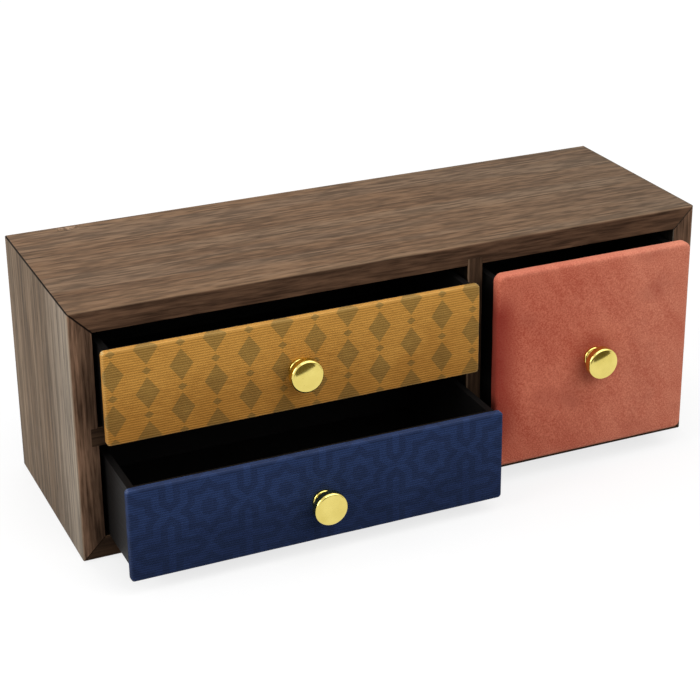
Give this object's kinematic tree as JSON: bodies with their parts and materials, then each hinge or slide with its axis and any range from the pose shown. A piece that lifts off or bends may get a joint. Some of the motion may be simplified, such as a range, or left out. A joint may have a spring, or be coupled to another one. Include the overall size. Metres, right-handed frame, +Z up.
{
  "type": "desk drawer chest",
  "caption": "Low desk-top wooden chest with a mitred carcass, fabric-covered sliding drawers and turned brass knobs.",
  "frame": {"origin": "middle of the carcass's base face", "axes": "+X across the chest to the viewer's right, the drawer fronts towards -Y, +Z up"},
  "size_m": [0.3, 0.1455, 0.115],
  "materials": {
    "walnut": "satin lacquer, open grain",
    "black_board": "satin black stain",
    "front_mdf": "raw fibreboard",
    "mustard_weave": "ribbed weave",
    "navy_weave": "ribbed weave",
    "coral_velvet": "short-pile velvet",
    "foam": "thin foam padding",
    "brass": "polished",
    "zinc_steel": "zinc plated"
  },
  "bodies": {
    "cabinet": {"top_board": "walnut", "bottom_board": "walnut", "left_side": "walnut", "right_side": "walnut", "back_panel": "black_board", "divider": "walnut", "drawer_shelf": "walnut"},
    "upper_drawer": {"upper_front_board": "front_mdf", "upper_front_weave": "mustard_weave", "upper_box_front": "black_board", "upper_box_left": "black_board", "upper_box_right": "black_board", "upper_box_back": "black_board", "upper_box_bottom": "black_board", "upper_knob": "brass", "upper_knob_screw": "zinc_steel", "upper_knob_washer": "zinc_steel"},
    "lower_drawer": {"lower_front_board": "front_mdf", "lower_front_weave": "navy_weave", "lower_box_front": "black_board", "lower_box_left": "black_board", "lower_box_right": "black_board", "lower_box_back": "black_board", "lower_box_bottom": "black_board", "lower_knob": "brass", "lower_knob_screw": "zinc_steel", "lower_knob_washer": "zinc_steel"},
    "tall_drawer": {"tall_front_board": "front_mdf", "tall_front_velvet": "coral_velvet", "tall_box_front": "black_board", "tall_box_left": "black_board", "tall_box_right": "black_board", "tall_box_back": "black_board", "tall_box_bottom": "black_board", "tall_knob": "brass", "tall_knob_screw": "zinc_steel", "tall_knob_washer": "zinc_steel", "tall_front_foam": "foam"}
  },
  "joints": [
    {"name": "upper_drawer_slide", "type": "slide", "parent": "cabinet", "child": "upper_drawer", "axis": [0, -1, 0], "range_m": [-0.0085, 0.0615]},
    {"name": "lower_drawer_slide", "type": "slide", "parent": "cabinet", "child": "lower_drawer", "axis": [0, -1, 0], "range_m": [-0.032, 0.038]},
    {"name": "tall_drawer_slide", "type": "slide", "parent": "cabinet", "child": "tall_drawer", "axis": [0, -1, 0], "range_m": [-0.0097, 0.0603]}
  ]
}
